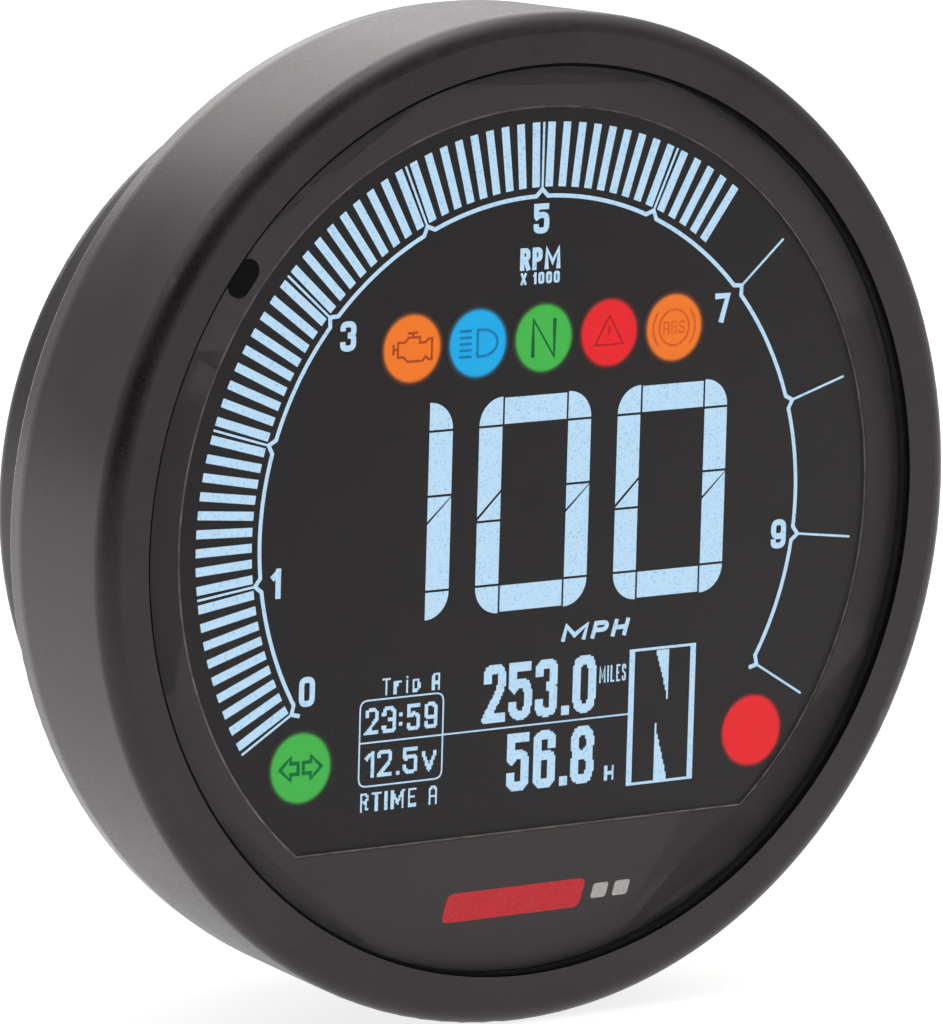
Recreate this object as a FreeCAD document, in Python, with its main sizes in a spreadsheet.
import FreeCAD, Part
import os
import re
import Sketcher
from FreeCAD import Placement, Rotation, Vector

# Round motorcycle instrument cluster with a liquid-crystal display.
# Millimetres. The dial faces -Y, +Z is up and the axis of the case lies along Y.
# The origin is the centre of the rear mounting plane. A "depth" is a distance
# behind the front plane of the bezel, so y = depth - OVERALL.

SIZES = {
    # front lens, printed mask and seal; the lens radius drives every radius of the housing
    "lens_radius": 51.85, "lens_fit": 0.15, "lens_recess": 0.3, "lens_thickness": 1.5, "lens_chamfer": 0.25,
    "mask_margin": 0.25, "mask_thickness": 0.25, "mask_gap": 0.2, "window_lap": 0.9, "window_flat": 35.8,
    "seal_thickness": 0.6, "seal_width": 1.0,
    # bezel housing
    "rim_width": 5.75, "wall_taper": 0.8, "wall_thickness": 2.5, "bezel_depth": 22.0,
    "rim_round": 2.2, "rear_taper": 0.5, "rear_taper_length": 3.2, "rear_taper_round": 8.0,
    "wall_rear_round": 0.8, "seat_width": 1.5, "seat_thickness": 2.0,
    "boss_clearance": 0.55, "boss_radius": 2.8, "boss_web": 3.0,
    # ambient light sensor
    "sensor_angle": 142.6, "sensor_width": 2.9, "sensor_length": 4.7, "sensor_fit": 0.05,
    "pipe_radius": 0.9, "pipe_fit": 0.1, "sensor_chip": 2.0, "sensor_chip_height": 0.8,
    # display cell and backlight
    "glass_thickness": 1.1, "polariser_thickness": 0.3, "glass_ledge": 4.5, "glass_lap": 2.7,
    "diffuser_thickness": 0.5, "guide_thickness": 3.0, "guide_lap": 2.6, "reflector_thickness": 0.3,
    "holder_gap": 0.2, "holder_wall": 2.15, "holder_fit": 0.15, "holder_floor": 1.0,
    "ear_radius": 2.6, "ear_gap": 0.2, "led_width": 3.0, "led_height": 1.2, "led_stand": 3.65,
    "led_pitch": 5.0, "led_gap": 0.2,
    "contact_width": 0.5, "contact_pitch": 1.8, "contact_offset": 0.15, "contact_lap": 1.2,
    # warning lamps: a row of five above the figures and one each side below
    "lamp_bore": 3.75, "lamp_wall": 0.5, "lamp_fit": 0.1, "lamp_rib": 1.37, "filter_lap": 0.25,
    "filter_thickness": 0.2, "lamp_row_height": 20.3, "lamp_row_middle": 0.8,
    "turn_lamp_x": -30.2, "turn_lamp_z": -25.5, "alert_lamp_x": 31.1, "alert_lamp_z": -26.9,
    "lamp_led": 3.0, "lamp_led_height": 1.2,
    # display board
    "board_gap": 1.0, "board_thickness": 1.6, "board_notch_fit": 0.5,
    "small_screw_radius": 1.0, "small_head_radius": 1.9, "small_head_height": 1.3, "small_screw_bite": 3.2,
    "screw_fit": 0.05, "board_hole_fit": 0.2,
    # rear case
    "flange_fit": 0.2, "flange_thickness": 4.0, "flange_recess": 0.3, "can_step": 6.5, "can_wall": 2.5,
    "can_length": 17.8, "can_floor": 2.5, "can_round": 2.5, "pad_radius": 6.0, "pad_height": 1.5,
    "ring_section": 0.75, "ring_gap": 0.05, "groove_lip": 0.3, "case_screw_radius": 1.5, "case_head_radius": 2.6,
    "case_head_height": 1.7, "case_head_gap": 0.3, "case_head_sink": 0.1, "case_screw_tip_gap": 0.4,
    # mounting inserts
    "insert_circle": 30.0, "insert_radius": 3.4, "insert_length": 9.0, "thread_radius": 2.1,
    "thread_floor": 1.0, "insert_boss_wall": 2.0, "insert_boss_floor": 1.0, "boss_gap": 0.5,
    # interface board, its posts and screws
    "io_board_margin": 1.2, "post_inset": 6.5, "post_radius": 3.2,
    "post_screw_radius": 1.5, "post_head_radius": 2.6, "post_head_height": 1.4, "post_screw_bite": 5.0,
    # plug connector
    "plug_z": -22.0, "plug_width": 30.0, "plug_height": 15.0, "plug_wall": 1.5,
    "plug_floor": 1.8, "plug_seal": 1.5, "plug_pin": 0.8, "plug_pin_pitch": 4.0, "plug_row_pitch": 5.0,
    "plug_pin_recess": 4.5,
    # push buttons and their switches
    "button_x": 20.0, "button_z": 8.0, "button_radius": 4.2, "button_fit": 0.3, "button_proud": 1.1,
    "button_travel": 1.0, "button_lip": 1.4, "button_flange": 1.0, "button_nub_radius": 2.0,
    "button_nub": 0.9, "button_ring_section": 0.5, "button_ring_gap": 0.08, "button_groove_fit": 0.04,
    "button_groove_inset": 0.3,
    "switch_width": 6.2, "switch_body": 2.8, "switch_stem": 0.8, "switch_stem_radius": 1.7, "switch_gap": 0.3,
    # vent plug
    "vent_z": 8.0, "vent_bore": 1.8, "vent_fit": 0.05, "vent_head_radius": 4.6, "vent_head": 1.0,
    # link between the two boards
    "link_z": 12.0, "link_socket_height": 8.5, "link_slot_wall": 0.9,
    "link_slot_floor": 1.5, "link_base_height": 2.5, "link_pin": 0.64, "link_pitch": 2.54, "link_pin_stop": 2.0,
}

CASE_SCREW_ANGLES = [0, 60, 120, 180, 240, 300]
EAR_ANGLES = [30, 150, 210, 330]
INSERT_ANGLES = [90, 210, 330]
POST_ANGLES = [30, 150, 270]
BACKLIGHT_LEDS = 8
CONTACTS = 20
PLUG_COLUMNS = 6
LINK_COLUMNS = 8

# Radii of the housing, from the lens outwards and inwards.
POCKET_RADIUS = "(lens_radius + lens_fit)"
RIM_RADIUS = "(%s + rim_width)" % POCKET_RADIUS
WALL_REAR_RADIUS = "(%s - wall_taper)" % RIM_RADIUS
CAVITY_RADIUS = "(%s - wall_thickness)" % WALL_REAR_RADIUS
SEAT_RADIUS = "(%s - seat_width)" % POCKET_RADIUS
MASK_RADIUS = "(lens_radius - mask_margin)"
HOLDER_RADIUS = "(%s - holder_gap)" % SEAT_RADIUS
HOLDER_INSIDE = "(%s - holder_wall)" % HOLDER_RADIUS
GLASS_RADIUS = "(%s - holder_fit)" % HOLDER_INSIDE
WINDOW_RADIUS = "(%s - window_lap)" % GLASS_RADIUS
SENSOR_CIRCLE = "(%s - pipe_radius - pipe_fit)" % SEAT_RADIUS
EAR_CIRCLE = "(%s - ear_radius - ear_gap)" % CAVITY_RADIUS
BOARD_RADIUS = "(%s - board_gap)" % CAVITY_RADIUS
CAN_RADIUS = "(%s - can_step)" % CAVITY_RADIUS
CAN_INSIDE = "(%s - can_wall)" % CAN_RADIUS
CASE_SCREW_CIRCLE = "(%s + case_head_radius + case_head_gap)" % CAN_RADIUS
IO_BOARD_RADIUS = "(%s - io_board_margin)" % CAN_INSIDE
POST_CIRCLE = "(%s - post_inset)" % CAN_INSIDE

# Straight lower edges of the display's sheets, as distances below the axis.
FRONT_GLASS_FLAT = "(window_flat + glass_lap)"
GUIDE_FLAT = "(%s + guide_lap)" % FRONT_GLASS_FLAT
REAR_GLASS_FLAT = "(%s + glass_ledge)" % FRONT_GLASS_FLAT

# Depth stations, front to back.
LENS_BACK = "lens_recess + lens_thickness"
MASK_BACK = LENS_BACK + " + mask_thickness"
SEAT = MASK_BACK + " + seal_thickness"
SEAT_BACK = SEAT + " + seat_thickness"
CELL_FRONT = MASK_BACK + " + mask_gap"
FRONT_GLASS = CELL_FRONT + " + polariser_thickness"
REAR_GLASS = FRONT_GLASS + " + glass_thickness"
REAR_GLASS_BACK = REAR_GLASS + " + glass_thickness"
CELL_BACK = REAR_GLASS_BACK + " + polariser_thickness"
GUIDE = CELL_BACK + " + diffuser_thickness"
REFLECTOR = GUIDE + " + guide_thickness"
FLOOR = REFLECTOR + " + reflector_thickness"
BOARD = FLOOR + " + holder_floor"
BOARD_BACK = BOARD + " + board_thickness"
REAR_TAPER = "bezel_depth - rear_taper_length"
FLANGE_BACK = "bezel_depth - flange_recess"
FLANGE_FRONT = FLANGE_BACK + " - flange_thickness"
RING_DEPTH = FLANGE_FRONT + " + groove_lip + ring_section + ring_gap"
HEAD_SEAT = FLANGE_BACK + " - case_head_height - case_head_sink"
BOSS_FRONT = BOARD_BACK + " + boss_clearance"
BOSS_LENGTH = "%s - (%s)" % (FLANGE_FRONT, BOSS_FRONT)
CAN_BACK = "bezel_depth + can_length"
CAN_FLOOR = CAN_BACK + " - can_floor"
OVERALL = CAN_BACK + " + pad_height"
BUTTON_STACK = "(switch_gap + button_travel + button_nub + button_flange + button_fit)"
SWITCH_ROOM = "switch_body + switch_stem + %s" % BUTTON_STACK
BOSS_ROOM = "insert_length + insert_boss_floor + boss_gap - pad_height - can_floor"
BOARD_ROOM = "max(%s; %s)" % (SWITCH_ROOM, BOSS_ROOM)
IO_BACK = "%s - %s" % (CAN_FLOOR, BOARD_ROOM)
IO_FRONT = IO_BACK + " - board_thickness"
LAMP_OUTER = "(lamp_bore + lamp_wall)"
LAMP_PITCH = "(2 * lamp_bore + lamp_rib)"
CASE_HOLE = "case_screw_radius + screw_fit"
INSERT_BOSS_RADIUS = "insert_radius + insert_boss_wall"
LINK_LENGTH = "(link_pitch * %d + 2 * link_slot_wall)" % LINK_COLUMNS
LINK_WIDTH = "(2 * link_pitch)"

doc = FreeCAD.newDocument("InstrumentCluster")
sheet = doc.addObject("Spreadsheet::Sheet", "Sizes")
for row, (alias, number) in enumerate(SIZES.items(), start=1):
    sheet.set("A%d" % row, alias)
    sheet.set("B%d" % row, str(number))
    sheet.setAlias("B%d" % row, alias)
doc.recompute()

nodes = []


def formula(text):
    """Turn each size's name in a formula into a reference to its sheet cell."""
    return re.sub(r"[a-z][a-z_]+", lambda m: "Sizes." + m[0] if m[0] in SIZES else m[0], str(text))


def bind(obj, **properties):
    for name, text in properties.items():
        obj.setExpression(name, formula(text))


def put(obj, x, depth, z, rotation=None):
    """Place an object at x and z, a depth behind the bezel's front plane."""
    if rotation:
        obj.Placement = Placement(Vector(), rotation)
    texts = (x, "%s - (%s)" % (depth, OVERALL), z)
    for axis, text in zip("xyz", texts):
        obj.setExpression("Placement.Base." + axis, formula(text))
    return obj


def polar(circle, angle):
    """x and z of a point on a circle about the axis, as formulas."""
    return "%s * cos(%s)" % (circle, angle), "%s * sin(%s)" % (circle, angle)


def disc(name, radius, depth, length, x=0, z=0):
    """A cylinder along +Y whose front face is at the given depth."""
    obj = doc.addObject("Part::Cylinder", name)
    bind(obj, Radius=radius, Height=length)
    return put(obj, x, depth, z, Rotation(Vector(1, 0, 0), -90))


def block(name, width, depth, length, height, x=0, z=0):
    """A box centred on x and z whose front face is at the given depth."""
    obj = doc.addObject("Part::Box", name)
    bind(obj, Length=width, Width=length, Height=height)
    return put(obj, "%s - (%s) / 2" % (x, width), depth, "%s - (%s) / 2" % (z, height))


def fuse(name, parts):
    obj = doc.addObject("Part::MultiFuse", name)
    obj.Shapes = parts
    return obj


def cut(name, base, tools):
    obj = doc.addObject("Part::Cut", name)
    obj.Base = base
    obj.Tool = tools[0] if len(tools) == 1 else fuse(name + "_tools", tools)
    return obj


def common(name, first, second):
    obj = doc.addObject("Part::Common", name)
    obj.Base = first
    obj.Tool = second
    return obj


def group(name, parts):
    obj = doc.addObject("Part::Compound", name)
    obj.Links = parts
    return obj


def node(label, obj):
    """Register a finished sub-part; its Label names its file."""
    obj.Label = label
    nodes.append(obj)
    return obj


def flat_disc(name, radius, depth, length, flat):
    """A disc cut straight along z = -flat at its lower edge."""
    keep = block(name + "_keep", "2 * " + radius, depth, length, "%s + %s" % (radius, flat),
                 z="(%s - %s) / 2" % (radius, flat))
    return common(name, disc(name + "_round", radius, depth, length), keep)


def new_body(label):
    body = doc.addObject("PartDesign::Body", label)
    body.setExpression("Placement.Base.y", formula("-(%s)" % OVERALL))
    return body


def origin_part(body, role):
    return [part for part in body.Origin.OriginFeatures if part.Role == role][0]


def sketch_on(body, name, plane, depth="0"):
    """A sketch on an origin plane; on XZ it lies at a depth behind the front."""
    sketch = body.newObject("Sketcher::SketchObject", name)
    sketch.AttachmentSupport = (origin_part(body, plane), [""])
    sketch.MapMode = "FlatFace"
    if depth != "0":
        sketch.setExpression("AttachmentOffset.Base.z", formula("-(%s)" % depth))
    return sketch


def pin_point(sketch, geometry, point, across, up):
    """Tie a sketch point to the origin with two driving dimensions."""
    for kind, axis, text in (("DistanceX", -2, across), ("DistanceY", -1, up)):
        if text == "0":
            sketch.addConstraint(Sketcher.Constraint("PointOnObject", geometry, point, axis))
        else:
            index = sketch.addConstraint(Sketcher.Constraint(kind, -1, 1, geometry, point, 1.0))
            sketch.setExpression("Constraints[%d]" % index, formula(text))


def outline(sketch, corners):
    """A closed straight-sided outline through corners given as formulas."""
    ring = [Vector(10 + 3 * i, (i * i) % 7, 0) for i in range(len(corners))]
    for i, start in enumerate(ring):
        sketch.addGeometry(Part.LineSegment(start, ring[(i + 1) % len(ring)]))
    for i in range(len(corners)):
        sketch.addConstraint(Sketcher.Constraint("Coincident", i, 2, (i + 1) % len(corners), 1))
    for i, (across, up) in enumerate(corners):
        pin_point(sketch, i, 1, across, up)


def circle_in(sketch, radius, across, up):
    index = sketch.addGeometry(Part.Circle(Vector(1, 1, 0), Vector(0, 0, 1), 1.0))
    pin_point(sketch, index, 3, across, up)
    constraint = sketch.addConstraint(Sketcher.Constraint("Radius", index, 1.0))
    sketch.setExpression("Constraints[%d]" % constraint, formula(radius))


def turned(body, name, corners):
    """A solid turned about the Y axis from (radius, depth) corners."""
    sketch = sketch_on(body, name + "_profile", "XY_Plane")
    outline(sketch, corners)
    feature = body.newObject("PartDesign::Revolution", name)
    feature.Profile = sketch
    feature.ReferenceAxis = (sketch, ["V_Axis"])
    feature.Angle = 360
    doc.recompute()
    return feature


def pad(body, name, sketch, length):
    feature = body.newObject("PartDesign::Pad", name)
    feature.Profile = sketch
    feature.Reversed = True
    bind(feature, Length=length)
    doc.recompute()
    return feature


def pocket(body, name, sketch, length):
    """Cut forwards from the sketch, and check that it removed material."""
    before = body.Shape.Volume
    feature = body.newObject("PartDesign::Pocket", name)
    feature.Profile = sketch
    feature.Reversed = True
    bind(feature, Length=length)
    doc.recompute()
    if not body.Shape.Volume < before:
        raise RuntimeError(name + " removes nothing")
    return feature


def spread(body, name, feature, count):
    """Repeat a feature evenly round the Y axis."""
    pattern = body.newObject("PartDesign::PolarPattern", name)
    pattern.Originals = [feature]
    pattern.Axis = (origin_part(body, "Y_Axis"), [""])
    pattern.Angle = 360
    pattern.Occurrences = count
    body.Tip = pattern
    doc.recompute()
    return pattern


def round_edge(body, name, size, depth):
    """Fillet the outermost circular edge that lies a depth behind the bezel's front plane."""
    base = body.Tip
    level = body.evalExpression(formula(depth))
    circles = [(edge.Curve.Radius, "Edge%d" % i) for i, edge in enumerate(base.Shape.Edges, start=1)
               if isinstance(edge.Curve, Part.Circle) and abs(edge.Curve.Center.y - level) < 1e-6]
    feature = body.newObject("PartDesign::Fillet", name)
    feature.Base = (base, [max(circles)[1]])
    bind(feature, Radius=size)
    doc.recompute()
    return feature


def bezel_housing():
    """Front shell: rounded rim, lens seat, tapered wall and six screw bosses."""
    body = new_body("bezel_housing")
    turned(body, "bezel_shell", [
        (POCKET_RADIUS, "0"), (RIM_RADIUS, "0"), (WALL_REAR_RADIUS, REAR_TAPER),
        (WALL_REAR_RADIUS + " - rear_taper", "bezel_depth"),
        (CAVITY_RADIUS, "bezel_depth"), (CAVITY_RADIUS, SEAT_BACK), (SEAT_RADIUS, SEAT_BACK),
        (SEAT_RADIUS, SEAT), (POCKET_RADIUS, SEAT)])
    round_edge(body, "rim_rounding", "rim_round", "0")
    round_edge(body, "rear_rounding", "wall_rear_round", "bezel_depth")
    round_edge(body, "taper_rounding", "rear_taper_round", REAR_TAPER)
    boss = sketch_on(body, "boss_profile", "XZ_Plane", BOSS_FRONT)
    circle_in(boss, "boss_radius", CASE_SCREW_CIRCLE, "0")
    boss_pad = pad(body, "screw_boss", boss, BOSS_LENGTH)
    web = sketch_on(body, "web_profile", "XZ_Plane", BOSS_FRONT)
    reach = CAVITY_RADIUS + " + wall_thickness / 4"
    outline(web, [(CASE_SCREW_CIRCLE, "-boss_web / 2"), (reach, "-boss_web / 2"),
                  (reach, "boss_web / 2"), (CASE_SCREW_CIRCLE, "boss_web / 2")])
    web_pad = pad(body, "boss_web", web, BOSS_LENGTH)
    spread(body, "screw_bosses", boss_pad, len(CASE_SCREW_ANGLES))
    spread(body, "boss_webs", web_pad, len(CASE_SCREW_ANGLES))
    pilot = sketch_on(body, "pilot_profile", "XZ_Plane", FLANGE_FRONT)
    circle_in(pilot, CASE_HOLE, CASE_SCREW_CIRCLE, "0")
    pilot_cut = pocket(body, "screw_pilot", pilot, BOSS_LENGTH)
    spread(body, "screw_pilots", pilot_cut, len(CASE_SCREW_ANGLES))
    return node("bezel_housing", body)


def front_lens():
    """Clear hard-coated lens with a small bevel round its front edge."""
    body = new_body("front_lens")
    turned(body, "lens_blank", [
        ("0", "lens_recess"), ("lens_radius - lens_chamfer", "lens_recess"),
        ("lens_radius", "lens_recess + lens_chamfer"), ("lens_radius", LENS_BACK), ("0", LENS_BACK)])
    return node("front_lens", body)


def sensor_oval(name, width, length):
    """An oval on the sensor's circle, its long side along the circle."""
    x, z = polar(SENSOR_CIRCLE, "sensor_angle")
    straight = block(name + "_middle", width, LENS_BACK, "mask_thickness", "%s - %s" % (length, width))
    ends = [disc(name + "_end%d" % i, "(%s) / 2" % width, LENS_BACK, "mask_thickness",
                 z="%s(%s - (%s)) / 2" % (sign, length, width)) for i, sign in enumerate(("", "-"))]
    oval = fuse(name, [straight] + ends)
    oval.Placement = Placement(Vector(), Rotation(Vector(0, 1, 0), 0))
    oval.setExpression("Placement.Base.x", formula(x))
    oval.setExpression("Placement.Base.z", formula(z))
    oval.setExpression("Placement.Rotation.Axis.y", "-1")
    oval.setExpression("Placement.Rotation.Axis.z", "0")
    oval.setExpression("Placement.Rotation.Angle", formula("sensor_angle"))
    return oval


def display_mask():
    """Black printed film behind the lens, with a round window cut flat below."""
    blank = disc("mask_blank", MASK_RADIUS, LENS_BACK, "mask_thickness")
    window = flat_disc("mask_window", WINDOW_RADIUS, LENS_BACK, "mask_thickness", "window_flat")
    grow = "(2 * sensor_fit)"
    oval = sensor_oval("sensor_hole", "(sensor_width + %s)" % grow, "(sensor_length + %s)" % grow)
    node("display_mask", cut("mask", blank, [window, oval]))
    node("sensor_window", sensor_oval("sensor_oval", "sensor_width", "sensor_length"))


def lens_seal():
    outer = disc("seal_outer", MASK_RADIUS, MASK_BACK, "seal_thickness")
    inner = disc("seal_inner", MASK_RADIUS + " - seal_width", MASK_BACK, "seal_thickness")
    node("lens_seal", cut("seal", outer, [inner]))


def light_sensor():
    """Light pipe behind the smoked window and the sensor that it feeds."""
    x, z = polar(SENSOR_CIRCLE, "sensor_angle")
    chip_front = BOARD + " - sensor_chip_height"
    node("sensor_light_pipe", disc("pipe", "pipe_radius", MASK_BACK, "%s - (%s)" % (chip_front, MASK_BACK), x, z))
    node("light_sensor", block("sensor", "sensor_chip", chip_front, "sensor_chip_height", "sensor_chip", x, z))


def display_cell():
    """Two glass plates and two polarisers; the rear glass has a contact ledge."""
    node("lcd_front_polariser",
         flat_disc("front_film", GLASS_RADIUS, CELL_FRONT, "polariser_thickness", FRONT_GLASS_FLAT))
    node("lcd_front_glass",
         flat_disc("front_plate", GLASS_RADIUS, FRONT_GLASS, "glass_thickness", FRONT_GLASS_FLAT))
    node("lcd_rear_glass",
         flat_disc("rear_plate", GLASS_RADIUS, REAR_GLASS, "glass_thickness", REAR_GLASS_FLAT))
    node("lcd_rear_polariser",
         flat_disc("rear_film", GLASS_RADIUS, REAR_GLASS_BACK, "polariser_thickness", FRONT_GLASS_FLAT))


LAMPS = {
    "engine_lamp_filter": ("lamp_row_middle - 2 * " + LAMP_PITCH, "lamp_row_height"),
    "high_beam_lamp_filter": ("lamp_row_middle - " + LAMP_PITCH, "lamp_row_height"),
    "neutral_lamp_filter": ("lamp_row_middle", "lamp_row_height"),
    "hazard_lamp_filter": ("lamp_row_middle + " + LAMP_PITCH, "lamp_row_height"),
    "abs_lamp_filter": ("lamp_row_middle + 2 * " + LAMP_PITCH, "lamp_row_height"),
    "turn_lamp_filter": ("turn_lamp_x", "turn_lamp_z"),
    "alert_lamp_filter": ("alert_lamp_x", "alert_lamp_z"),
}
SINGLE_LAMPS = {"turn_lamp_shroud": ("turn_lamp_x", "turn_lamp_z"),
                "alert_lamp_shroud": ("alert_lamp_x", "alert_lamp_z")}


def lamp_row_slot(name, radius, depth, length):
    """A long slot with round ends that takes the five lamps of the row."""
    middle = block(name + "_middle", "4 * " + LAMP_PITCH, depth, length, "2 * (%s)" % radius,
                   "lamp_row_middle", "lamp_row_height")
    ends = [disc(name + "_end%d" % i, radius, depth, length, "lamp_row_middle %s 2 * %s" % (sign, LAMP_PITCH),
                 "lamp_row_height") for i, sign in enumerate("-+")]
    return fuse(name, [middle] + ends)


def lamp_clearances(name, depth, length):
    """Every opening that a sheet behind the display needs for the lamps."""
    radius = LAMP_OUTER + " + lamp_fit"
    singles = [disc("%s_single%d" % (name, i), radius, depth, length, x, z)
               for i, (x, z) in enumerate(SINGLE_LAMPS.values())]
    return [lamp_row_slot(name + "_row", radius, depth, length)] + singles


def lamps():
    """Coloured filters, black shrouds and the light source of each lamp."""
    top = CELL_BACK + " + filter_thickness"
    length = "%s - (%s)" % (BOARD, top)
    for label, (x, z) in LAMPS.items():
        node(label, disc(label + "_disc", "lamp_bore + filter_lap", CELL_BACK, "filter_thickness", x, z))
    row = list(LAMPS.values())[:5]
    bores = [disc("row_bore%d" % i, "lamp_bore", top, length, x, z) for i, (x, z) in enumerate(row)]
    node("lamp_row_shroud", cut("row_shroud", lamp_row_slot("row_block", LAMP_OUTER, top, length), bores))
    for label, (x, z) in SINGLE_LAMPS.items():
        tube = disc(label + "_tube", LAMP_OUTER, top, length, x, z)
        node(label, cut(label + "_cut", tube, [disc(label + "_bore", "lamp_bore", top, length, x, z)]))
    chips = [block("lamp_chip%d" % i, "lamp_led", BOARD + " - lamp_led_height", "lamp_led_height", "lamp_led", x, z)
             for i, (x, z) in enumerate(LAMPS.values())]
    node("lamp_leds", group("lamp_chips", chips))


def backlight():
    """Diffuser, edge-lit guide and reflector, and the light sources below them."""
    diffuser = flat_disc("diffuser_blank", GLASS_RADIUS, CELL_BACK, "diffuser_thickness", GUIDE_FLAT)
    node("diffuser_sheet", cut("diffuser", diffuser, lamp_clearances("diffuser_gap", CELL_BACK, "diffuser_thickness")))
    guide = flat_disc("guide_blank", GLASS_RADIUS, GUIDE, "guide_thickness", GUIDE_FLAT)
    node("light_guide", cut("guide", guide, lamp_clearances("guide_gap", GUIDE, "guide_thickness")))
    sheet_blank = flat_disc("reflector_blank", GLASS_RADIUS, REFLECTOR, "reflector_thickness", GUIDE_FLAT)
    node("reflector_sheet",
         cut("reflector", sheet_blank, lamp_clearances("reflector_gap", REFLECTOR, "reflector_thickness")))
    chips = [block("edge_chip%d" % i, "led_width", BOARD + " - led_stand", "led_stand", "led_height",
                   "led_pitch * %s" % (i - (BACKLIGHT_LEDS - 1) / 2), "-(%s + led_gap + led_height / 2)" % GUIDE_FLAT)
             for i in range(BACKLIGHT_LEDS)]
    node("backlight_leds", group("edge_chips", chips))


def lcd_contacts():
    """Bent metal contacts from the rear glass's lower edge to the board."""
    z = "-(%s + contact_offset + contact_width / 2)" % REAR_GLASS_FLAT
    contacts = []
    for i in range(CONTACTS):
        x = "contact_pitch * %s" % (i - (CONTACTS - 1) / 2)
        front = REAR_GLASS + " - contact_width / 2"
        leg = block("contact_leg%d" % i, "contact_width", front, "%s - (%s)" % (BOARD, front), "contact_width", x, z)
        lap = block("contact_lap%d" % i, "contact_width", front, "contact_width / 2", "contact_lap",
                    x, "contact_lap / 2 - contact_offset - " + REAR_GLASS_FLAT)
        contacts.append(fuse("contact%d" % i, [leg, lap]))
    node("lcd_contacts", group("contacts", contacts))


def lcd_holder():
    """White plastic tray that carries the display cell and the backlight."""
    top = CELL_FRONT
    height = "%s - (%s)" % (BOARD, top)
    ear_height = "%s - (%s)" % (BOARD, SEAT_BACK)
    ears = [disc("ear%d" % i, "ear_radius", SEAT_BACK, ear_height, *polar(EAR_CIRCLE, angle))
            for i, angle in enumerate(EAR_ANGLES)]
    tray = fuse("tray", [disc("tray_round", HOLDER_RADIUS, top, height)] + ears)
    well = disc("tray_well", HOLDER_INSIDE, top, "%s - (%s)" % (FLOOR, top))
    led_slot = block("led_slot", "led_pitch * %s" % BACKLIGHT_LEDS, FLOOR, "holder_floor",
                     "led_height + 2 * led_gap", z="-(%s + led_gap + led_height / 2)" % GUIDE_FLAT)
    contact_slot = block("contact_slot", "contact_pitch * %s" % (CONTACTS + 1), FLOOR, "holder_floor",
                         "contact_width + 2 * contact_offset",
                         z="-(%s + contact_offset + contact_width / 2)" % REAR_GLASS_FLAT)
    bite = "small_screw_bite"
    holes = [disc("ear_hole%d" % i, "small_screw_radius + screw_fit", "%s - %s" % (BOARD, bite), bite,
                  *polar(EAR_CIRCLE, angle)) for i, angle in enumerate(EAR_ANGLES)]
    sensor = polar(SENSOR_CIRCLE, "sensor_angle")
    pipe = disc("pipe_groove", "pipe_radius + pipe_fit", top, height, *sensor)
    chip_room = "sensor_chip + 2 * pipe_fit"
    chip = block("chip_notch", chip_room, BOARD + " - 2 * sensor_chip_height", "2 * sensor_chip_height",
                 chip_room, *sensor)
    gaps = lamp_clearances("tray_gap", FLOOR, "holder_floor")
    node("lcd_holder", cut("holder", tray, [well, led_slot, contact_slot, pipe, chip] + holes + gaps))


def display_board():
    """Round board behind the display, notched to pass the case's screw bosses."""
    blank = disc("board_blank", BOARD_RADIUS, BOARD, "board_thickness")
    notches = [disc("board_notch%d" % i, "boss_radius + board_notch_fit", BOARD, "board_thickness",
                    *polar(CASE_SCREW_CIRCLE, angle))
               for i, angle in enumerate(CASE_SCREW_ANGLES)]
    holes = [disc("board_hole%d" % i, "small_screw_radius + board_hole_fit", BOARD, "board_thickness",
                  *polar(EAR_CIRCLE, angle)) for i, angle in enumerate(EAR_ANGLES)]
    node("display_board", cut("board", blank, notches + holes))
    screws = []
    for i, angle in enumerate(EAR_ANGLES):
        x, z = polar(EAR_CIRCLE, angle)
        shank = disc("board_shank%d" % i, "small_screw_radius", BOARD + " - small_screw_bite",
                     "board_thickness + small_screw_bite", x, z)
        head = disc("board_head%d" % i, "small_head_radius", BOARD_BACK, "small_head_height", x, z)
        cross = [block("board_cross%d%s" % (i, way), width, BOARD_BACK + " + small_head_height / 2",
                       "small_head_height", height, x, z)
                 for way, width, height in (("a", 2.2, 0.5), ("b", 0.5, 2.2))]
        screws.append(cut("board_screw%d" % i, fuse("board_screw_body%d" % i, [shank, head]), cross))
    node("board_screws", group("board_screw_set", screws))


def display_board_parts():
    """The larger components soldered to the back of the display board."""
    for label, width, thickness, height, x, z in (
            ("microcontroller", 12.0, 1.4, 12.0, -13.0, -8.0),
            ("display_driver", 14.0, 1.2, 14.0, 12.0, -12.0),
            ("memory_chip", 5.0, 1.6, 6.0, 17.0, 26.0),
            ("crystal", 11.0, 3.6, 4.6, -14.0, 26.0)):
        node(label, block(label + "_block", width, BOARD_BACK, thickness, height, x, z))
    chips = [block("chip_capacitor%d" % i, 2.0, BOARD_BACK, 1.2, 1.25, -24.0 + 4.0 * i, -27.0) for i in range(10)]
    node("chip_capacitors", group("chip_capacitor_row", chips))


def link_pins_at(name, depth, length):
    pins = []
    for column in range(LINK_COLUMNS):
        for row in (-0.5, 0.5):
            pins.append(block("%s%d%s" % (name, column, "a" if row < 0 else "b"), "link_pin", depth, length, "link_pin",
                              "link_pitch * %s" % (column - (LINK_COLUMNS - 1) / 2), "link_z + link_pitch * %s" % row))
    return pins


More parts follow.
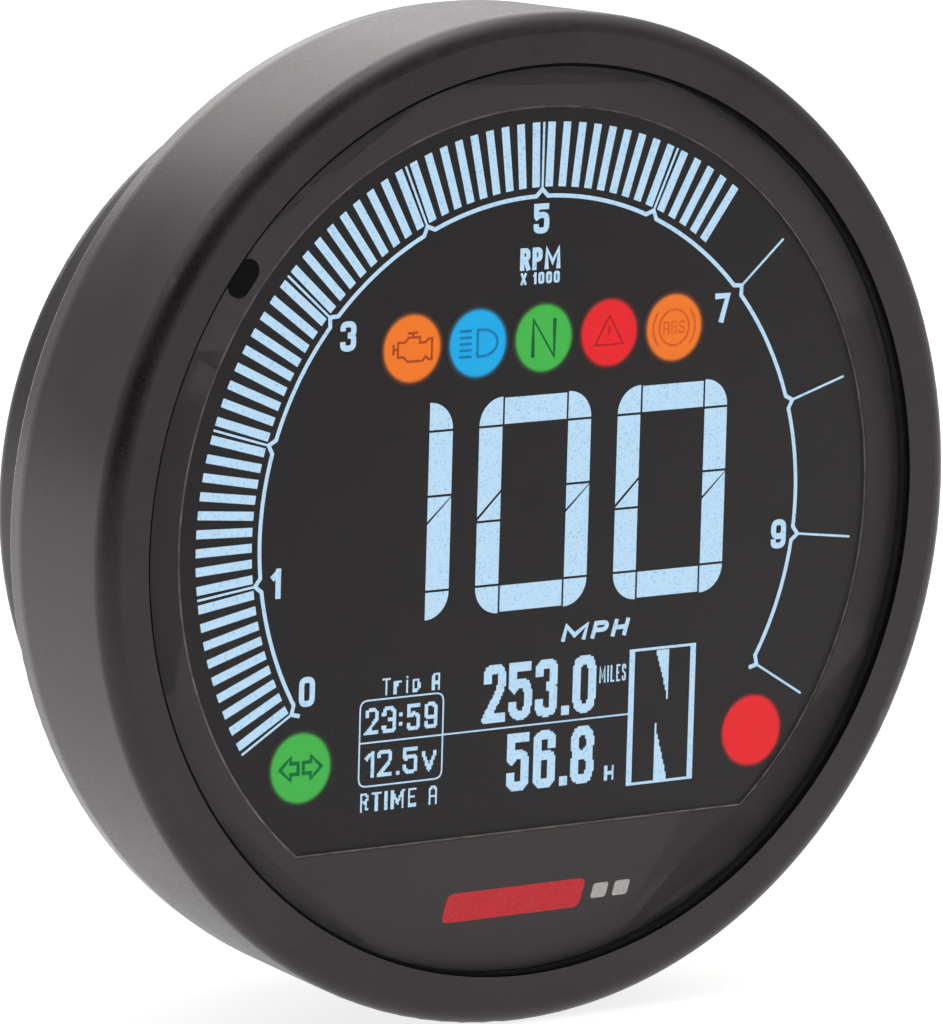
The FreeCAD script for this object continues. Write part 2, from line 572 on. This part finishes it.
def board_link():
    """Socket on the display board and a tall pin header on the other board."""
    body = block("socket_body", LINK_LENGTH, BOARD_BACK, "link_socket_height", LINK_WIDTH, z="link_z")
    slot = block("socket_slot", LINK_LENGTH + " - 2 * link_slot_wall", BOARD_BACK + " + link_slot_floor",
                 "link_socket_height", LINK_WIDTH + " - 2 * link_slot_wall", z="link_z")
    node("link_socket", cut("socket", body, [slot]))
    base_front = "%s - link_base_height" % IO_FRONT
    base = block("header_base", LINK_LENGTH, base_front, "link_base_height", LINK_WIDTH, z="link_z")
    node("link_header", cut("header", base, link_pins_at("header_hole", base_front, "link_base_height")))
    start = "%s + link_slot_floor + link_pin_stop" % BOARD_BACK
    node("link_pins", group("link_pin_set", link_pins_at("link_pin", start, "%s - (%s)" % (IO_FRONT, start))))


def interface_board():
    """Rear board with the supply, the plug connector and the two switches."""
    blank = disc("io_blank", IO_BOARD_RADIUS, IO_FRONT, "board_thickness")
    holes = [disc("io_hole%d" % i, "post_screw_radius + board_hole_fit", IO_FRONT, "board_thickness",
                  *polar(POST_CIRCLE, angle)) for i, angle in enumerate(POST_ANGLES)]
    node("interface_board", cut("io_board", blank, holes))
    screws = []
    for i, angle in enumerate(POST_ANGLES):
        x, z = polar(POST_CIRCLE, angle)
        shank = disc("io_shank%d" % i, "post_screw_radius", IO_FRONT, "board_thickness + post_screw_bite", x, z)
        head = disc("io_head%d" % i, "post_head_radius", "%s - post_head_height" % IO_FRONT, "post_head_height", x, z)
        screws.append(fuse("io_screw%d" % i, [shank, head]))
    node("interface_screws", group("io_screw_set", screws))


def interface_board_parts():
    """Supply components on the front of the interface board."""
    regulator = block("regulator_case", 6.6, "%s - 2.3" % IO_FRONT, 2.3, 6.1, 18.0, -26.0)
    tab = block("regulator_tab", 5.4, "%s - 0.6" % IO_FRONT, 0.6, 9.4, 18.0, -26.0)
    node("voltage_regulator", fuse("regulator", [regulator, tab]))
    cans = [disc("can%d" % i, 5.0, "%s - 10.5" % IO_FRONT, 10.5, x, z)
            for i, (x, z) in enumerate(((-24.0, -8.0), (-20.0, -22.0)))]
    node("filter_capacitors", group("capacitor_cans", cans))
    core = disc("choke_core", 5.5, "%s - 5" % IO_FRONT, 5.0, 29.0, -10.0)
    eye = disc("choke_eye", 2.0, "%s - 5" % IO_FRONT, 5.0, 29.0, -10.0)
    node("input_choke", cut("choke", core, [eye]))


def plug_pins_at(name, depth, length):
    pins = []
    for column in range(PLUG_COLUMNS):
        for row in (-0.5, 0.5):
            pins.append(block("%s%d%s" % (name, column, "a" if row < 0 else "b"), "plug_pin", depth, length, "plug_pin",
                              "plug_pin_pitch * %s" % (column - (PLUG_COLUMNS - 1) / 2),
                              "plug_z + plug_row_pitch * %s" % row))
    return pins


def plug_connector():
    """Twelve-way socket in the back of the case, with its pins and gasket."""
    length = "%s - (%s)" % (OVERALL, IO_BACK)
    shell = block("shroud_block", "plug_width", IO_BACK, length, "plug_height", z="plug_z")
    cavity = block("shroud_cavity", "plug_width - 2 * plug_wall", IO_BACK + " + plug_floor",
                   "%s - plug_floor" % length, "plug_height - 2 * plug_wall", z="plug_z")
    node("connector_shroud", cut("shroud", shell, [cavity] + plug_pins_at("shroud_hole", IO_BACK, "plug_floor")))
    node("connector_pins", group("plug_pin_set", plug_pins_at("plug_pin", IO_BACK, length + " - plug_pin_recess")))
    grow = " + 2 * plug_seal"
    outer = block("gasket_outer", "plug_width" + grow, CAN_FLOOR, "can_floor", "plug_height" + grow, z="plug_z")
    inner = block("gasket_inner", "plug_width", CAN_FLOOR, "can_floor", "plug_height", z="plug_z")
    node("connector_seal", cut("gasket", outer, [inner]))


def round_post(body, name, radius, circle, angle, depth, length):
    sketch = sketch_on(body, name + "_profile", "XZ_Plane", depth)
    circle_in(sketch, radius, *polar(circle, angle))
    return pad(body, name, sketch, length)


def rear_case():
    """Rear can: flange with a ring groove, floor, mount pads, posts and openings."""
    body = new_body("rear_case")
    flange = CAVITY_RADIUS + " - flange_fit"
    groove = CAVITY_RADIUS + " - 2 * ring_section - 2 * ring_gap"
    half_groove = "(ring_section + ring_gap)"
    turned(body, "case_shell", [
        (CAN_INSIDE, FLANGE_FRONT), (flange, FLANGE_FRONT), (flange, "%s - %s" % (RING_DEPTH, half_groove)),
        (groove, "%s - %s" % (RING_DEPTH, half_groove)), (groove, "%s + %s" % (RING_DEPTH, half_groove)),
        (flange, "%s + %s" % (RING_DEPTH, half_groove)), (flange, FLANGE_BACK), (CAN_RADIUS, FLANGE_BACK),
        (CAN_RADIUS, CAN_BACK), ("0", CAN_BACK), ("0", CAN_FLOOR), (CAN_INSIDE, CAN_FLOOR)])
    round_edge(body, "can_rounding", "can_round", CAN_BACK)
    pad_start = CAN_BACK + " - can_floor / 2"
    mount_pad = round_post(body, "mount_pad", "pad_radius", "insert_circle", INSERT_ANGLES[0],
                           pad_start, "can_floor / 2 + pad_height")
    spread(body, "mount_pads", mount_pad, len(INSERT_ANGLES))
    boss_start = "%s - insert_length - insert_boss_floor" % OVERALL
    boss = round_post(body, "insert_boss", INSERT_BOSS_RADIUS, "insert_circle", INSERT_ANGLES[0],
                      boss_start, "%s - (%s) + can_floor / 2" % (CAN_FLOOR, boss_start))
    spread(body, "insert_bosses", boss, len(INSERT_ANGLES))
    post = round_post(body, "board_post", "post_radius", POST_CIRCLE, POST_ANGLES[0],
                      IO_BACK, BOARD_ROOM + " + can_floor / 2")
    spread(body, "board_posts", post, len(POST_ANGLES))
    for name, radius, circle, angles, depth, length in (
            ("insert_bore", "insert_radius", "insert_circle", INSERT_ANGLES, OVERALL + " - insert_length", "insert_length"),
            ("post_pilot", "post_screw_radius + screw_fit", POST_CIRCLE, POST_ANGLES, IO_BACK, "post_screw_bite"),
            ("flange_hole", CASE_HOLE, CASE_SCREW_CIRCLE, CASE_SCREW_ANGLES, FLANGE_FRONT, "flange_thickness"),
            ("head_recess", "case_head_radius + case_head_gap", CASE_SCREW_CIRCLE, CASE_SCREW_ANGLES,
             HEAD_SEAT, "case_head_height + case_head_sink")):
        sketch = sketch_on(body, name + "_profile", "XZ_Plane", "%s + %s" % (depth, length))
        circle_in(sketch, radius, *polar(circle, angles[0]))
        hole = pocket(body, name, sketch, length)
        spread(body, name + "s", hole, len(angles))
    openings = sketch_on(body, "openings_profile", "XZ_Plane", CAN_BACK)
    circle_in(openings, "button_radius + button_fit", "button_x", "button_z")
    circle_in(openings, "button_radius + button_fit", "-button_x", "button_z")
    circle_in(openings, "vent_bore", "0", "vent_z")
    pocket(body, "rear_openings", openings, "can_floor")
    window = sketch_on(body, "plug_window_profile", "XZ_Plane", CAN_BACK)
    half_width, half_height = "(plug_width / 2 + plug_seal)", "(plug_height / 2 + plug_seal)"
    left, right = "-" + half_width, half_width
    low, high = "plug_z - " + half_height, "plug_z + " + half_height
    outline(window, [(left, low), (right, low), (right, high), (left, high)])
    pocket(body, "plug_window", window, "can_floor")
    return node("rear_case", body)


def case_seal():
    """Rubber ring in the flange's groove, against the bezel's inner wall."""
    ring = doc.addObject("Part::Torus", "case_ring")
    bind(ring, Radius1=CAVITY_RADIUS + " - ring_gap - ring_section", Radius2="ring_section")
    node("case_seal", put(ring, 0, RING_DEPTH, 0, Rotation(Vector(1, 0, 0), -90)))


def case_screws():
    """Six sunk pan-head screws with cross recesses that hold the case to the bezel."""
    screws = []
    for i, angle in enumerate(CASE_SCREW_ANGLES):
        x, z = polar(CASE_SCREW_CIRCLE, angle)
        tip = BOSS_FRONT + " + case_screw_tip_gap"
        shank = disc("case_shank%d" % i, "case_screw_radius", tip, "%s - (%s)" % (HEAD_SEAT, tip), x, z)
        head = disc("case_head%d" % i, "case_head_radius", HEAD_SEAT, "case_head_height", x, z)
        cross = [block("case_cross%d%s" % (i, way), width, HEAD_SEAT + " + case_head_height / 2",
                       "case_head_height", height, x, z)
                 for way, width, height in (("a", 3.0, 0.7), ("b", 0.7, 3.0))]
        screws.append(cut("case_screw%d" % i, fuse("case_screw_body%d" % i, [shank, head]), cross))
    node("case_screws", group("case_screw_set", screws))


def mount_inserts():
    """Three blind brass inserts, tapped M5, moulded into the mount pads."""
    inserts = []
    for i, angle in enumerate(INSERT_ANGLES):
        x, z = polar("insert_circle", angle)
        sleeve = disc("insert%d" % i, "insert_radius", OVERALL + " - insert_length", "insert_length", x, z)
        depth = "(insert_length - thread_floor)"
        bore = disc("insert_thread%d" % i, "thread_radius", "%s - %s" % (OVERALL, depth), depth, x, z)
        inserts.append(cut("insert_cut%d" % i, sleeve, [bore]))
    node("mount_inserts", group("insert_set", inserts))


def vent_plug():
    """Breather plug that lets the case breathe but keeps water out."""
    stem = disc("vent_stem", "vent_bore - vent_fit", CAN_FLOOR, "can_floor", z="vent_z")
    head = disc("vent_cap", "vent_head_radius", CAN_BACK, "vent_head", z="vent_z")
    node("vent_plug", fuse("vent", [stem, head]))


def push_button(label, x):
    """Button cap with a retaining flange, a nub for its switch and a ring groove."""
    body = doc.addObject("PartDesign::Body", label)
    for axis, text in (("x", x), ("y", "-(%s)" % OVERALL), ("z", "button_z")):
        body.setExpression("Placement.Base." + axis, formula(text))
    flange_back = "%s - button_fit" % CAN_FLOOR
    flange_front = flange_back + " - button_flange"
    tip = CAN_BACK + " + button_proud"
    groove_back = CAN_BACK + " - button_groove_inset"
    groove_front = groove_back + " - 2 * (button_ring_section + button_groove_fit)"
    ring_radius = "(button_radius + button_fit - button_ring_gap - button_ring_section)"
    groove_radius = ring_radius + " - button_ring_section - button_groove_fit"
    lip_radius = "button_radius + button_lip"
    turned(body, label + "_blank", [
        ("0", flange_front + " - button_nub"), ("button_nub_radius", flange_front + " - button_nub"),
        ("button_nub_radius", flange_front), (lip_radius, flange_front),
        (lip_radius, flange_back), ("button_radius", flange_back), ("button_radius", groove_front),
        (groove_radius, groove_front), (groove_radius, groove_back),
        ("button_radius", groove_back), ("button_radius", tip), ("0", tip)])
    round_edge(body, label + "_rounding", "button_proud / 2", tip)
    node(label, body)
    ring = doc.addObject("Part::Torus", label + "_ring")
    bind(ring, Radius1=ring_radius, Radius2="button_ring_section")
    ring_depth = groove_back + " - button_ring_section - button_groove_fit"
    node(label + "_seal", put(ring, x, ring_depth, "button_z", Rotation(Vector(1, 0, 0), -90)))


def switch(label, x):
    """Tactile switch on the back of the interface board, under its button."""
    case = block(label + "_case", "switch_width", IO_BACK, "switch_body", "switch_width", x, "button_z")
    stem = disc(label + "_stem", "switch_stem_radius", IO_BACK + " + switch_body",
                "%s - switch_body - %s" % (BOARD_ROOM, BUTTON_STACK), x, "button_z")
    node(label, fuse(label + "_unit", [case, stem]))


bezel_housing()
front_lens()
display_mask()
lens_seal()
light_sensor()
display_cell()
lamps()
backlight()
lcd_contacts()
lcd_holder()
display_board()
display_board_parts()
board_link()
interface_board()
interface_board_parts()
plug_connector()
rear_case()
case_seal()
case_screws()
mount_inserts()
vent_plug()
push_button("select_button", "-button_x")
push_button("adjust_button", "button_x")
switch("select_switch", "-button_x")
switch("adjust_switch", "button_x")
doc.recompute()

for obj in doc.Objects:
    if "Invalid" in obj.State or "Error" in obj.State:
        raise RuntimeError("%s did not build" % obj.Label)
for obj in nodes:
    if obj.Shape.isNull() or not obj.Shape.isValid() or not obj.Shape.Solids:
        raise RuntimeError("%s has no valid solid" % obj.Label)

os.makedirs("parts", exist_ok=True)
for obj in nodes:
    obj.Shape.exportStep(os.path.join("parts", obj.Label + ".step"))
print("%d sub-parts" % len(nodes))
